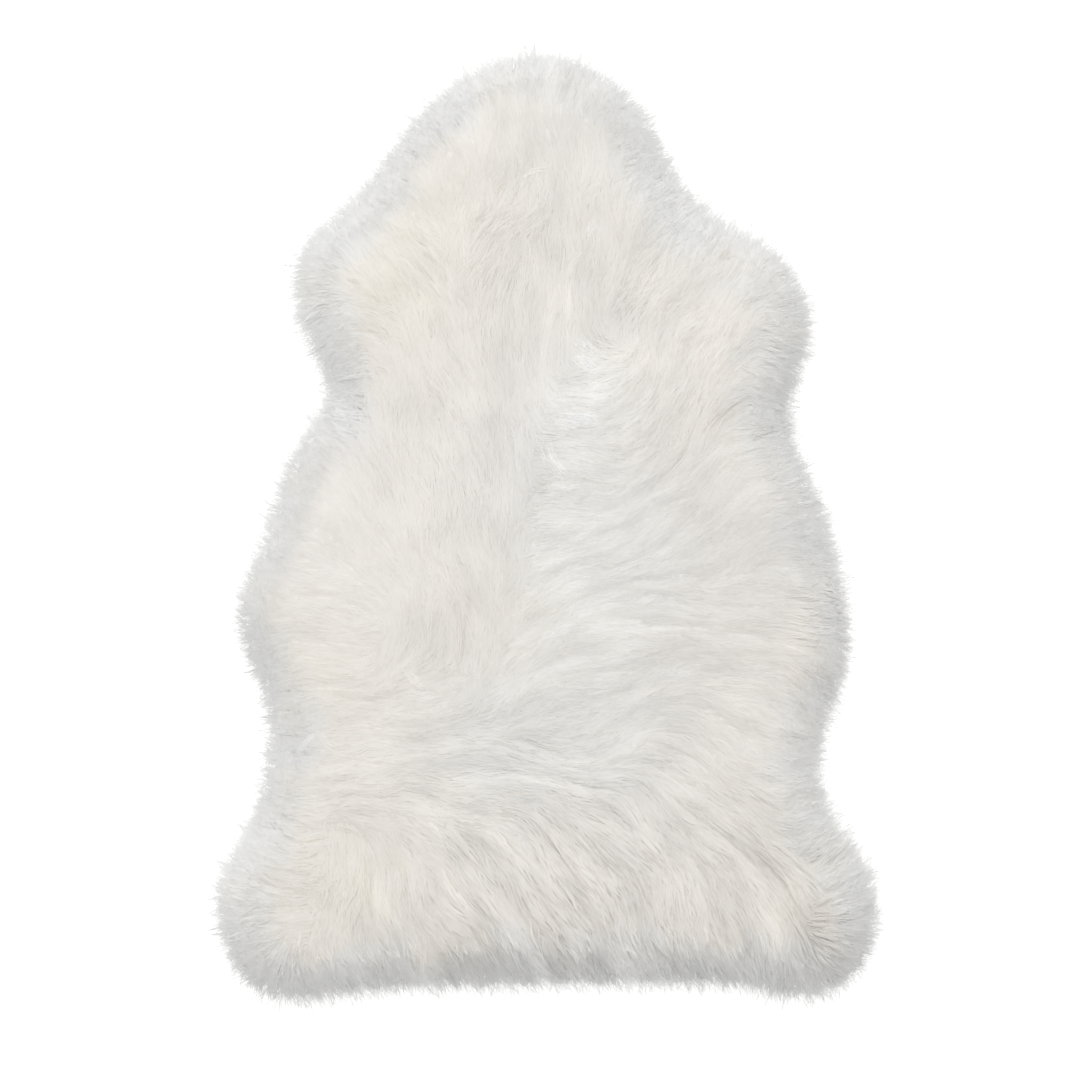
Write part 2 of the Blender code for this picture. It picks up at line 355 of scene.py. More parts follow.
# long soft ridges that run with the wool, and bands of tone along them that are partly painted light and
# shade
streaks = (
    {"width": 0.0045, "length": 0.03, "rise": 0.0002, "riseWhereSilky": 0.00006, "tone": 0.008},
    {"width": 0.009, "length": 0.08, "rise": 0.00025, "riseWhereSilky": 0.0006, "tone": 0.012},
    {"width": 0.013, "length": 0.045, "rise": 0.0, "riseWhereSilky": 0.0, "tone": 0.022},
)
lighterPlaces = (
    # x, y, radius, how much lighter than elsewhere: partly the wool's own tone, partly painted light and
    # shade, such as darker shaded rims and a painted highlight at the cowlick
    (-0.05, -0.445, 0.05, -0.02), (0.04, -0.44, 0.05, -0.02), (0.13, -0.43, 0.04, -0.015),
    (0.225, 0.18, 0.04, 0.07), (-0.235, 0.195, 0.035, 0.06), (-0.31, -0.345, 0.04, 0.035),
    (0.035, 0.13, 0.035, 0.04), (0.22, -0.35, 0.05, -0.015), (0.14, -0.03, 0.05, -0.02),
    (-0.3, -0.07, 0.04, -0.01), (0.014, 0.16, 0.013, -0.03), (0.07, 0.14, 0.013, -0.03),
    (0.285, -0.1, 0.02, -0.01), (-0.04, 0.215, 0.03, -0.025), (-0.04, 0.1, 0.04, -0.04),
    (-0.045, 0.01, 0.04, -0.03), (-0.1, -0.105, 0.028, -0.045), (-0.04, -0.08, 0.03, -0.02),
    (0.088, 0.215, 0.035, -0.03), (0.088, 0.055, 0.04, -0.04), (0.024, 0.225, 0.03, -0.02),
    (0.16, -0.14, 0.04, -0.03), (0.088, -0.17, 0.035, -0.025), (0.216, 0.03, 0.035, -0.02),
    (0.26, 0.13, 0.03, -0.02), (0.225, -0.2, 0.04, 0.03), (0.02, -0.295, 0.07, 0.015),
    (-0.16, 0.215, 0.03, 0.02), (-0.06, 0.42, 0.03, -0.02), (0.218, -0.04, 0.034, -0.055),
    (0.216, 0.15, 0.03, -0.035), (-0.168, 0.15, 0.03, -0.04), (-0.104, -0.361, 0.03, -0.05),
    (-0.04, -0.2, 0.04, -0.025), (0.024, -0.2, 0.04, -0.015), (0.21, -0.11, 0.03, -0.005),
    (0.024, 0.125, 0.035, 0.015), (0.088, -0.34, 0.04, -0.02), (0.152, 0.13, 0.03, -0.005),
    (0.152, 0.02, 0.04, -0.01), (0.024, 0.01, 0.045, 0.01), (-0.104, -0.165, 0.03, 0.005),
    (-0.136, -0.425, 0.045, 0.01), (-0.29, -0.05, 0.04, -0.025), (-0.12, 0.385, 0.045, -0.03),
    (0.01, 0.43, 0.045, -0.03), (-0.18, 0.31, 0.04, -0.025), (0.088, 0.1, 0.04, -0.02),
    (-0.04, 0.08, 0.03, -0.035), (0.216, 0.21, 0.03, -0.035), (0.216, -0.295, 0.03, -0.045),
    (0.152, -0.295, 0.03, -0.03), (0.024, -0.36, 0.03, -0.03), (-0.104, -0.105, 0.028, -0.03),
    (-0.104, -0.233, 0.03, -0.025), (0.216, -0.42, 0.03, -0.045), (0.152, -0.361, 0.03, -0.02),
    (-0.04, -0.041, 0.03, -0.03), (-0.168, -0.361, 0.03, -0.025), (0.024, 0.343, 0.03, -0.025),
    (0.07, 0.343, 0.03, -0.015), (-0.168, 0.12, 0.04, -0.015), (-0.25, 0.05, 0.03, -0.02),
    (0.024, -0.233, 0.03, -0.02), (-0.27, -0.43, 0.03, -0.02), (0.29, -0.37, 0.03, -0.025),
    (0.152, -0.105, 0.03, -0.02), (0.262, -0.05, 0.025, 0.02), (0.216, 0.15, 0.028, -0.02),
    (0.024, 0.085, 0.025, 0.015), (-0.04, 0.24, 0.03, -0.015), (0.152, 0.055, 0.03, -0.015),
)
evenTone = 0.2  # how much of the streaks' tone shows everywhere
streaksFrom = (0.01, 0.04)  # the ridges fade in between these depths inside the rim
bolderTone = (
    # x, y, radius, how much more the tone changes there
    (0.02, -0.37, 0.11, 1.5), (0.23, -0.34, 0.07, 0.9), (-0.15, -0.38, 0.06, 0.5),
    (0.035, 0.13, 0.04, 0.9), (0.01, 0.22, 0.07, 0.8), (0.08, -0.08, 0.11, 0.5), (0.22, 0.17, 0.05, 0.6),
    (-0.21, 0.19, 0.04, 0.4), (0, 0.4, 0.06, 0.7),
)
silkyPatches = (
    # x, y, radius, strength
    (0.07, -0.02, 0.075, 1), (0.06, -0.13, 0.08, 1), (0.13, -0.22, 0.07, 0.7), (0.11, 0.08, 0.06, 0.6),
)


def addStreaks():
    gx, gy = np.meshgrid(form["xs"], form["ys"])
    step = form["step"]
    silky = np.clip(blots(silkyPatches, gx, gy), 0, 1)
    bold = evenTone + blots(bolderTone, gx, gy)
    random = np.random.default_rng(seeds["streaks"])
    ridges, tone = np.zeros(gx.shape), np.zeros(gx.shape)
    for kind in streaks:
        form["grain"] = evenNoise(random, gx.shape, kind["width"] / 2 / step)
        total = form["grain"].copy()
        for way in (1, -1):
            x, y, aheadX, aheadY = gx, gy, way * form["headX"], way * form["headY"]
            for _ in range(int(kind["length"] / 2 / step)):
                aheadX, aheadY = lineAt(x, y, aheadX, aheadY)
                x, y = x + aheadX * step, y + aheadY * step
                total += read("grain", x, y)
        rise = kind["rise"] + (kind["riseWhereSilky"] - kind["rise"]) * silky
        ridges += total / total.std() * rise
        tone += total / total.std() * kind["tone"]
    # painted light and shade go into the tone here: the bands along the ridges and the lighter and darker
    # places
    form["tone"] = tone * bold + blots(lighterPlaces, gx, gy)
    form["height"] += ridges * smooth(*streaksFrom, form["inside"])
    gentle = blurred(form["height"], formGrid["softenSlope"] / step)
    form["riseY"], form["riseX"] = np.gradient(gentle, step)


# colour and liveliness of the wool by place; the colour holds painted light and shade as well as the wool's
# own tone
tint = {
    "warm": (0.918, 0.887, 0.843),
    # cool: the rim's greyer wool, partly its own grey and partly painted shade that darkens the rim
    "cool": (0.857, 0.855, 0.842),
    "white": (0.92, 0.908, 0.88),
    "cream": (0.915, 0.877, 0.788),
    # dim: partly darker wool, partly painted shade that dims the neck and the rump
    "dim": (0.87, 0.84, 0.795),
    "fuzz": (0.9, 0.9, 0.89),
    # wisp: painted shade, dark grey for the thin edge's last wisps
    "wisp": (0.66, 0.66, 0.65),
    "palest": 0.985,  # no wool is lighter than this
    "coolTo": (0.002, 0.054),  # how far in from the rim the greyer wool reaches, which is partly painted shade
    "coolBays": 0.009,  # and how unevenly
    "fuzzTo": (-0.014, -0.002),  # outside the rim, the fuzz and the last wisps; the wisps are painted dark grey as shade of the thin edge
    "wispTo": (-0.026, -0.016),
}
creamPatches = (
    # x, y, radius, strength
    (-0.094, 0.305, 0.04, 0.55), (-0.141, 0.219, 0.045, 0.6), (-0.217, -0.142, 0.04, 0.45),
    (-0.18, -0.345, 0.055, 0.6), (-0.075, -0.066, 0.045, 0.3), (0.229, -0.351, 0.045, 0.35),
)
dimPatches = (
    # the same for the dimmer wool, which is partly its own darker tone and partly painted shade
    (0, 0.4, 0.09, 0.6), (0.06, 0.25, 0.09, 0.35), (0.02, -0.38, 0.11, 0.45), (0.23, -0.37, 0.08, 0.6),
    (-0.15, -0.39, 0.07, 0.3), (0.18, -0.2, 0.08, 0.3),
)
whitePatches = (
    # the same for the whiter wool
    (0.045, -0.02, 0.075, 1), (0, 0.075, 0.025, 0.8), (0.04, -0.2, 0.085, 1), (0.035, 0.13, 0.04, 1),
    (0.01, 0.4, 0.06, 0.4), (-0.06, -0.21, 0.05, 0.5), (0.25, -0.05, 0.04, 0.5),
    (0.235, 0.08, 0.035, 0.4),
)
liveliness = {
    "calm": 0.3,  # of the wool in general
    "least": 0.04,
    "moreAtRim": 0.35,
    "rim": (0.005, 0.04),  # it fades out between these depths inside the rim
}
ruffledPatches = (
    # x, y, radius, how much livelier the locks are there
    (0.025, -0.37, 0.09, 1.2), (0.235, -0.365, 0.055, 0.6), (0.25, 0.16, 0.04, 0.4),
    (-0.26, -0.2, 0.04, -0.2), (0.285, -0.06, 0.035, 0.7), (0.264, 0.05, 0.025, 0.5),
    (0.285, -0.17, 0.03, 0.5), (-0.29, -0.35, 0.05, -0.05), (-0.215, -0.065, 0.06, -0.4),
    (-0.085, 0.04, 0.06, 0.2), (-0.12, 0.39, 0.06, -0.35), (-0.29, -0.06, 0.06, -0.3),
    (0.02, 0, 0.05, -0.2), (0.22, 0.05, 0.05, -0.2), (0.08, -0.06, 0.08, -0.3), (0.08, -0.19, 0.07, -0.2),
    (-0.1, -0.2, 0.06, -0.2), (0.22, -0.08, 0.06, -0.2), (-0.15, 0.15, 0.04, -0.1),
    (0.21, 0.2, 0.04, -0.1), (-0.25, 0.03, 0.04, -0.3), (0.05, 0.42, 0.05, -0.25),
    (-0.18, 0.31, 0.04, -0.25), (-0.29, -0.22, 0.04, -0.2), (0.16, 0.32, 0.05, -0.2),
    (0.08, 0.37, 0.04, -0.25), (0.23, -0.02, 0.05, -0.2),
)


def tintAndShadingAt(x, y):
    colour = np.zeros(x.shape + (3,)) + np.array(tint["warm"])
    for other, patches in (("white", whitePatches), ("cream", creamPatches), ("dim", dimPatches)):
        for px, py, radius, strength in patches:
            share = strength * near(x, y, px, py, radius)
            colour += (np.array(tint[other]) - colour) * share[..., None]
    # painted shade: the rim's grey and the dark wisps at the edge; the tone also brings in painted light
    # and shade
    inside = read("inside", x, y)
    uneven = inside + tint["coolBays"] * read("cloud", x, y)
    for other, depth in (("cool", uneven), ("fuzz", inside), ("wisp", inside)):
        colour += (np.array(tint[other]) - colour) * (1 - smooth(*tint[other + "To"], depth))[..., None]
    return colour * (1 + read("tone", x, y))[..., None]


def ruffleAt(x, y):
    atRim = liveliness["moreAtRim"] * (1 - smooth(*liveliness["rim"], read("inside", x, y)))
    return np.maximum(liveliness["calm"] + atRim + blots(ruffledPatches, x, y), liveliness["least"])


# locks, and the strands that they are made of
strand = {
    "points": 5,  # the last one is the tip
    "roll": 0.12,  # how far a strand's flat side may turn, in radians
    "edgeLean": 0.06,  # how far its edges' normals lean apart
    "followSlope": 0.6,  # how much its shading follows its own slope
    "wave": 0.001,
    "colourSpread": 0.01,
    "wideSink": 0.0005,  # the widest lie this much under the finest
    "glowRise": 0.0002,  # the brightest lie this much over the rest
    "glowTurn": 1.8,  # and their shading turns this far towards the light
    "glowFade": 0.7,  # the lower, the nearer to its ends a lock is bright
    # painted highlight: how much paler the brightest locks are painted
    "highlightPaler": 0.05,
    "tiltFrom": 0.3,  # from this share of a lock on, its strands tilt fully
    "jitter": 0.0002,
    "fineness": 1.8,  # the higher, the fewer wide ones
    "waves": (3, 8),  # radians of its wave that a strand runs through
    "pinchOver": (0.15, 1.05),  # the stretch of a lock over which it narrows
    "furthest": 1.15,  # how far along its lock a strand may reach, as a share
    "crownFrom": 0.05,  # up to this share of it, a lock is as high as it is there
    "rootCurve": 2.2,
    "tipCurve": 1.5,
    "lowest": (0.0006, 0.0014),  # over the floor
    "taper": ((0, 0.3, 0.75, 1), (0.6, 1, 0.75, 0)),
}
byLiveliness = {
    # how much of each even the calmest wool has, and how much of it liveliness adds
    "rootDepth": (0.15, 0.85),
    "tipRise": (0.35, 0.6),
    "depth": (0.3, 0.7),
    "width": (0.7, 0.45),
}
topWool = {
    "spacing": 0.0092,
    "length": (0.036, 0.06),
    "inside": 0.002,  # how far inside the rim their middles begin
    "room": 0.004,  # and how much room each has there at least
    "overhang": (0.0, 0.022),
    "blur": 0.005,  # how far from its own place a lock may take its direction
    "mixing": 0.3,  # how often neighbours lie the opposite way where the wool parts softly
    "bend": 0.14,  # radians that one bends from end to end, and that it sways to each side
    "sway": 0.16,
    "swayRate": 0.7,
    "halfWidth": (0.0045, 0.0085),
    "strands": 11,
    "width": (0.001, 0.0036),
    "begin": (-0.05, 0.32),
    "share": (0.6, 0.9),
    "pinch": 0.4,  # how wide a lock still is at its tip
    "stray": 0.0013,
    "rootDepth": 0.0014,
    "tipRise": 0.0003,
    "lift": 0.00022,
    "crown": 0.0005,  # how much higher a lock is along its middle
    "tilt": 0.1,
    "shade": 0.006,
}
topHairs = topWool | {
    "spacing": 0.0054,
    "strands": 1,
    "halfWidth": (0.0002, 0.0008),
    "width": (0.0004, 0.0008),
    "begin": (0.1, 0.2),
    "share": (0.6, 0.85),
    "lift": 0.0005,
    "crown": 0.0,
    "tilt": 0.0,
    "paler": 0.035,
}
longWool = topWool | {
    "length": (0.05, 0.085),
    "overhang": (0.0, 0.018),
    "halfWidth": (0.0018, 0.004),
    "strands": 16,
    "width": (0.0004, 0.0011),
    "begin": (-0.02, 0.3),
    "bend": 0.1,
    "sway": 0.08,
    "pinch": 0.25,
    "stray": 0.0007,
    "rootDepth": 0.0026,
    "tipRise": 0.0005,
    "lift": 0.0006,
    "crown": 0.001,
    "tilt": 0.3,
    "shade": 0.015,
    "paler": 0.03,
}
fineHairs = topHairs | {
    "length": (0.026, 0.056),
    "bend": 0.08,
    "sway": 0.06,
    "width": (0.0003, 0.0008),
    "above": 0.0004,
    "paler": 0.06,
}
hairPatches = (
    # x, y, radius, how many pale hairs lie there
    (0.02, -0.365, 0.085, 1700), (0.22, -0.35, 0.055, 1000), (-0.15, -0.37, 0.06, 500),
    (0.26, -0.11, 0.05, 500), (0.215, 0.17, 0.04, 300), (0.05, -0.05, 0.06, 900),
    (0.05, -0.17, 0.06, 700), (0.035, 0.13, 0.025, 160), (-0.225, 0.19, 0.035, 250),
    (-0.1, 0.29, 0.06, 300), (-0.27, -0.33, 0.035, 200), (0.11, 0.09, 0.05, 300),
    (-0.046, 0.068, 0.012, 40),
)
longPatches = (
    # x, y, radius, how many long locks lie there
    (0.02, -0.355, 0.08, 110), (0.22, -0.35, 0.055, 70), (-0.14, -0.37, 0.06, 30),
    (0.255, -0.12, 0.05, 40), (0.215, 0.17, 0.045, 50), (0.08, -0.06, 0.07, 50), (0.08, -0.19, 0.07, 50),
    (-0.23, 0.19, 0.035, 20), (-0.27, -0.33, 0.035, 20), (0.12, 0.09, 0.05, 20), (-0.1, 0.28, 0.06, 25),
    (-0.11, -0.15, 0.06, 20),
)
rimWool = {
    "starts": (-0.004, 0.044),  # how far inside the rim they root
    "locks": 1450,
    "length": (0.022, 0.034),
    "reachOut": (0.003, 0.016),  # how far past the rim one may end
    "lean": 0.14,
    "bend": 0.24,
    "halfWidth": (0.004, 0.0075),
    "strands": 11,
    "width": (0.0005, 0.0018),
    "begin": (-0.05, 0.25),
    "share": (0.5, 0.88),
    "pinch": 0.85,
    "stray": 0.0024,
    "rootDepth": 0.0018,
    "tipRise": 0.0008,
    "lift": 0.0003,
    "crown": 0.0005,
    "tilt": 0.12,
    "shade": 0.006,
}
hangingLocks = rimWool | {
    "starts": (0.0, 0.04),
    "locks": 480,
    "length": (0.03, 0.052),
    "reachOut": (0.006, 0.022),
    "lean": 0.1,
    "halfWidth": (0.0024, 0.005),
    "strands": 15,
    "width": (0.0004, 0.0011),
    "begin": (-0.02, 0.25),
    "share": (0.55, 0.9),
    "pinch": 0.25,
    "stray": 0.001,
    "rootDepth": 0.0022,
    "tipRise": 0.0006,
    "lift": 0.0008,
    "crown": 0.0016,
    "tilt": 0.32,
    "shade": 0.014,
    "paler": 0.015,
}
rimHairs = rimWool | {
    "starts": (0.0, 0.04),
    "locks": 13900,
    "length": (0.022, 0.04),
    "reachOut": (0.002, 0.019),
    "lean": 0.16,
    "bend": 0.3,
    "halfWidth": (0.0002, 0.001),
    "strands": 1,
    "width": (0.0003, 0.0008),
    "begin": (0.0, 0.1),
    "share": (0.8, 0.95),
    "rootDepth": 0.0006,
    "above": 0.0002,
    "crown": 0.0,
    "tilt": 0.0,
    "shade": 0.045,
}
fringeLocks = rimWool | {
    "starts": (0.03, 0.066),
    "locks": 1100,
    "length": (0.026, 0.052),
    "reachOut": (-0.022, -0.004),
    "lean": 0.1,
    "bend": 0.22,
    "halfWidth": (0.0016, 0.0036),
    "strands": 12,
    "width": (0.0003, 0.0009),
    "begin": (-0.02, 0.3),
    "share": (0.55, 0.8),
    "pinch": 0.1,
    "stray": 0.0006,
    "rootDepth": 0.0016,
    "tipRise": 0.0034,
    "lift": 0.0004,
    "above": 0.0002,
    "crown": 0.0008,
    "tilt": 0.2,
    "shade": 0.012,
    "paler": 0.03,
    # painted highlight on the lit fringe locks
    "glow": 0.12,
}
hangingPlaces = (
    # x, y, radius, share of the hanging locks that grow there
    (-0.25, -0.42, 0.07, 0.7), (-0.1, -0.44, 0.08, 0.8), (0.06, -0.44, 0.08, 0.8),
    (0.23, -0.43, 0.07, 0.8), (0.29, -0.26, 0.08, 0.7), (0.29, -0.08, 0.08, 0.8), (0.25, 0.13, 0.09, 0.8),
    (-0.31, -0.3, 0.06, 0.4), (-0.23, 0.19, 0.05, 0.5), (0.08, 0.4, 0.1, 0.3), (-0.29, -0.08, 0.08, 0.2),
)
fringePlaces = (
    # the same for the fringe's locks
    (-0.25, -0.42, 0.05, 0.9), (-0.13, -0.44, 0.06, 0.9), (-0.01, -0.44, 0.06, 0.9),
    (0.11, -0.44, 0.06, 0.9), (0.23, -0.43, 0.05, 0.9), (0.29, -0.33, 0.04, 0.3),
    (0.29, -0.11, 0.06, 0.4), (-0.31, -0.34, 0.04, 0.6), (0.25, 0.17, 0.04, 0.5), (-0.23, 0.2, 0.03, 0.3),
)
edgeWool = rimWool | {
    "starts": (-0.008, 0.006),
    "locks": 3700,
    "length": (0.016, 0.036),
    "reachOut": (0.009, 0.031),
    "lean": 0.22,
    "bend": 0.44,
    "halfWidth": (0.0015, 0.004),
    "strands": 4,
    "width": (0.0002, 0.0006),
    "begin": (-0.1, 0.25),
    "share": (0.45, 0.9),
    "pinch": 1.0,
    "stray": 0.0025,
    "tipRise": 0.0014,
    "crown": 0.0,
    "tilt": 0.0,
}
looseHairs = edgeWool | {
    "starts": (-0.01, 0.02),
    "locks": 6800,
    "length": (0.024, 0.048),
    "reachOut": (0.013, 0.037),
    "lean": 0.32,
    "bend": 0.6,
    "halfWidth": (0.0002, 0.001),
    "strands": 1,
    "width": (0.0002, 0.0004),
    "begin": (0.0, 0.05),
    "share": (0.8, 1.0),
    "stray": 0.0015,
    "rootDepth": 0.001,
    "tipRise": 0.0024,
    "lift": 0.0008,
}
tuftWool = {
    "strands": 60,
    "width": (0.0003, 0.0013),
    "begin": (-0.1, 0.5),
    "share": (0.45, 0.8),
    "pinch": 0.6,
    "stray": 0.0014,
    "rootDepth": 0.0006,
    "tipRise": 0.0004,
    "lift": 0.0003,
    "above": 0.0001,
    "crown": 0.0004,
    "tilt": 0.08,
    "shade": 0.01,
    # painted highlight: the tufts are painted paler
    "paler": 0.015,
}
tufts = (
    # x, y of the root, heading, length, bend in degrees, half width, how much brighter than the rest, as a
    # painted highlight with shading turned to the light
    (0.026, 0.183, -54, 0.028, 40, 0.006, 0.9), (0.027, 0.166, -56, 0.03, 44, 0.0065, 1.1),
    (0.03, 0.144, -34, 0.032, 44, 0.0035, 0.3), (0.026, 0.133, -36, 0.036, 54, 0.0035, 0.3),
    (0.024, 0.124, -20, 0.036, 30, 0.0035, 0.2), (0.005, 0.1085, -8, 0.046, 8, 0.0065, 1.1),
    (0.005, 0.104, 0, 0.046, 4, 0.0065, 1.1), (0.005, 0.1, 8, 0.044, 2, 0.0065, 1.1),
    (0.008, 0.1035, 0, 0.04, 4, 0.0085, 1.1), (-0.005, 0.087, -80, 0.046, 50, 0.008, 0.8),
    (0.016, 0.232, 78, 0.04, -40, 0.005, 0.3), (0.026, 0.266, 52, 0.046, 24, 0.005, 0.3),
    (0.018, 0.198, 96, 0.04, -18, 0.005, 0.22), (-0.03, 0.324, 60, 0.036, -80, 0.0035, 0.3),
    (-0.078, 0.245, 96, 0.046, -20, 0.0045, 0.22), (-0.093, 0.21, 84, 0.044, 24, 0.004, 0.22),
    (-0.0025, 0.042, -6, 0.036, 6, 0.004, 0.38), (-0.001, 0.029, -2, 0.034, 8, 0.0035, 0.3),
    (0.018, -0.012, 30, 0.032, -6, 0.005, 0.38), (0.052, -0.044, 24, 0.05, -4, 0.006, 0.38),
    (0.013, -0.05, 10, 0.036, 0, 0.005, 0.38), (0.074, -0.069, 12, 0.04, 4, 0.0045, 0.38),
    (-0.009, -0.099, 10, 0.04, 10, 0.0045, 0.45), (0.059, -0.096, 4, 0.04, 6, 0.0045, 0.3),
    (-0.136, -0.128, -62, 0.036, 50, 0.004, 0.3), (-0.14, -0.149, -24, 0.04, 34, 0.004, 0.3),
    (-0.098, -0.14, -10, 0.034, 60, 0.004, 0.22), (-0.118, -0.272, -40, 0.04, -30, 0.0045, 0.38),
    (-0.11, -0.282, -48, 0.038, 34, 0.0045, 0.3), (-0.036, -0.286, -30, 0.034, -40, 0.004, 0.3),
    (-0.212, -0.19, 200, 0.034, 50, 0.004, 0.22), (-0.196, -0.206, 160, 0.034, -50, 0.004, 0.22),
    (0.17, -0.196, -20, 0.05, -14, 0.0045, 0.22), (0.1, -0.135, 2, 0.046, -10, 0.0045, 0.3),
)
bands = ("neckWool", "shoulderWool", "backWool", "loinWool", "rumpWool")


def scattered(random, kind):
    # points on jittered rows, wherever the form is far enough inside its rim
    spacing = kind["spacing"]
    ys = np.arange(boxLow.y, boxHigh.y, spacing)
    x, y = np.meshgrid(np.arange(boxLow.x, boxHigh.x, spacing), ys)
    x = x + (np.arange(len(ys)) % 2 * spacing / 2)[:, None]
    x = (x + random.uniform(-0.5, 0.5, x.shape) * spacing).ravel()
    y = (y + random.uniform(-0.5, 0.5, y.shape) * spacing).ravel()
    keep = read("inside", x, y) > kind["inside"]
    return x[keep], y[keep]


def trace(x, y, aheadX, aheadY, awayX, awayY, stride, steps, turns):
    # points stepped along the lie of the wool, the first one step away from x, y
    points = np.zeros((len(x), steps, 2))
    for k in range(steps):
        aheadX, aheadY = lineAt(x + awayX, y + awayY, aheadX, aheadY)
        c, s = np.cos(turns[k]), np.sin(turns[k])
        x = x + (aheadX * c - aheadY * s) * stride
        y = y + (aheadX * s + aheadY * c) * stride
        points[:, k, 0], points[:, k, 1] = x, y
    return points


def inPatches(random, patches):
    # points thrown round the middles of these patches
    thrown = [random.normal((px, py), radius, (count, 2)) for px, py, radius, count in patches]
    x, y = np.concatenate(thrown).T
    keep = read("inside", x, y) > topWool["room"]
    return x[keep], y[keep]


def growTopLocks(random, kind, x, y):
    # middle lines of the locks on top, each grown both ways from its point
    count, before, after = len(x), 5, 4
    stride = random.uniform(*kind["length"], count) / (before + after)
    free = np.maximum(read("inside", x, y), kind["room"]) + random.uniform(*kind["overhang"], count)
    stride = np.minimum(stride, free / after)
    awayX, awayY = random.normal(0, kind["blur"], (2, count))
    unsure = random.normal(0, kind["mixing"], (2, count))
    hx = read("headX", x + awayX, y + awayY) + unsure[0]
    hy = read("headY", x + awayX, y + awayY) + unsure[1]
    bend = random.normal(0, kind["bend"], count)
    sway = random.normal(0, kind["sway"], count)
    phase = random.uniform(0, 2 * math.pi, count)
    turns = [phase + kind["swayRate"] * k for k in range(-before, after)]
    swing = [bend * (k - 1) / after + sway * np.cos(turn) for k, turn in enumerate(turns, -before)]
    forward = trace(x, y, hx, hy, awayX, awayY, stride, after, swing[before:])
    back = trace(x, y, -hx, -hy, awayX, awayY, stride, before, swing[:before][::-1])
    place = np.stack([x, y], -1)[:, None]
    return np.concatenate([back[:, ::-1], place, forward], 1)


def alongRim(share):
    # x, y and the way out at these shares of the way round the rim
    loop = np.vstack([form["ring"], form["ring"][:1]])
    gone = np.concatenate([[0], np.cumsum(np.linalg.norm(np.diff(loop, axis=0), axis=1))])
    at = share * gone[-1]
    x = np.interp(at, gone, loop[:, 0], period=gone[-1])
    y = np.interp(at, gone, loop[:, 1], period=gone[-1])
    return x, y, read("outX", x, y), read("outY", x, y)


def growRimLocks(random, kind):
    # middle lines of locks that root beside the rim and hang out over it
    locks, steps = kind["locks"], 6
    starts = random.uniform(*kind["starts"], locks)
    x, y, outX, outY = alongRim((np.arange(locks) + random.uniform(-0.5, 0.5, locks)) / locks)
    x, y = x - outX * starts, y - outY * starts
    reach = starts + random.uniform(*kind["reachOut"], locks)
    stride = np.minimum(random.uniform(*kind["length"], locks), reach) / steps
    lean = random.normal(0, kind["lean"], locks)
    bend = random.normal(0, kind["bend"], locks)
    path = np.zeros((locks, steps + 1, 2))
    path[:, 0, 0], path[:, 0, 1] = x, y
    for k in range(steps):
        outX, outY = read("combX", x, y), read("combY", x, y)
        turn = lean + bend * k / steps
        c, s = np.cos(turn), np.sin(turn)
        x = x + (outX * c - outY * s) * stride
        y = y + (outX * s + outY * c) * stride
        path[:, k + 1, 0], path[:, k + 1, 1] = x, y
    return path


def atPlaces(random, path, places):
    # the locks whose root falls to one of these places
    return path[random.uniform(0, 1, len(path)) < blots(places, *path[:, 0].T)]


def growTufts():
    rows = np.array(tufts)
    steps = 8
    x, y = rows[:, 0], rows[:, 1]
    turn, stride = np.radians(rows[:, 2]), rows[:, 3] / steps
    path = np.zeros((len(rows), steps + 1, 2))
    path[:, 0, 0], path[:, 0, 1] = x, y
    for k in range(steps):
        x = x + np.cos(turn) * stride
        y = y + np.sin(turn) * stride
        turn = turn + np.radians(rows[:, 4]) / steps
        path[:, k + 1, 0], path[:, k + 1, 1] = x, y
    return path


def alongPath(path, lock, t):
    # points at the shares t of the paths of these strands' locks, and the headings there
    steps = path.shape[1] - 1
    f = np.clip(t, 0, strand["furthest"]) * steps
    k = np.clip(f.astype(int), 0, steps - 1)
    part = (f - k)[..., None]
    a, b = path[lock[:, None], k], path[lock[:, None], k + 1]
    heading = b - a
    heading = heading / (np.linalg.norm(heading, axis=-1, keepdims=True) + 1e-9)
    return a + (b - a) * part, heading


def lively(name, ruffle):
    least, more = byLiveliness[name]
    return least + more * ruffle


